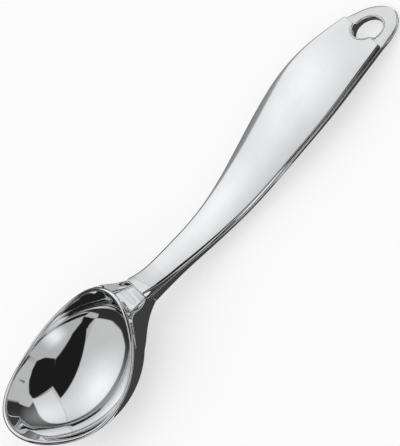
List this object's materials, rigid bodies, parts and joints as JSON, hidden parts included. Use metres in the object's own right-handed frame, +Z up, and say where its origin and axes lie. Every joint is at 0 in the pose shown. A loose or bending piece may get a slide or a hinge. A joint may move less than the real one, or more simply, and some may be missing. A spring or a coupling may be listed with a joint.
{
  "type": "ice cream scoop",
  "caption": "Rigid polished metal scoop: oval bowl on a flared neck and a hollow crowned handle with a lined hanging hole.",
  "frame": {"origin": "centre of the bounding box's underside, on the surface that the scoop lies on", "axes": "+X along the handle from the bowl to the hanging hole, +Z up out of the open bowl, Y across"},
  "size_m": [0.2074, 0.0566, 0.024],
  "materials": {
    "bowl_chrome": "mirror-polished chrome plate",
    "neck_chrome": "mirror-polished chrome plate",
    "handle_chrome": "polished chrome plate",
    "back_chrome": "polished chrome plate",
    "sleeve_chrome": "polished chrome plate",
    "inner_steel": "plain rolled steel",
    "filler_resin": "cast filler, dull"
  },
  "bodies": {
    "root": {"bowl": "bowl_chrome", "neck": "neck_chrome", "tang": "inner_steel", "tang_rivet_front": "inner_steel", "tang_rivet_rear": "inner_steel", "handle_filler": "filler_resin", "handle_cover": "handle_chrome", "handle_back": "back_chrome", "hanging_hole_sleeve": "sleeve_chrome"}
  },
  "joints": []
}
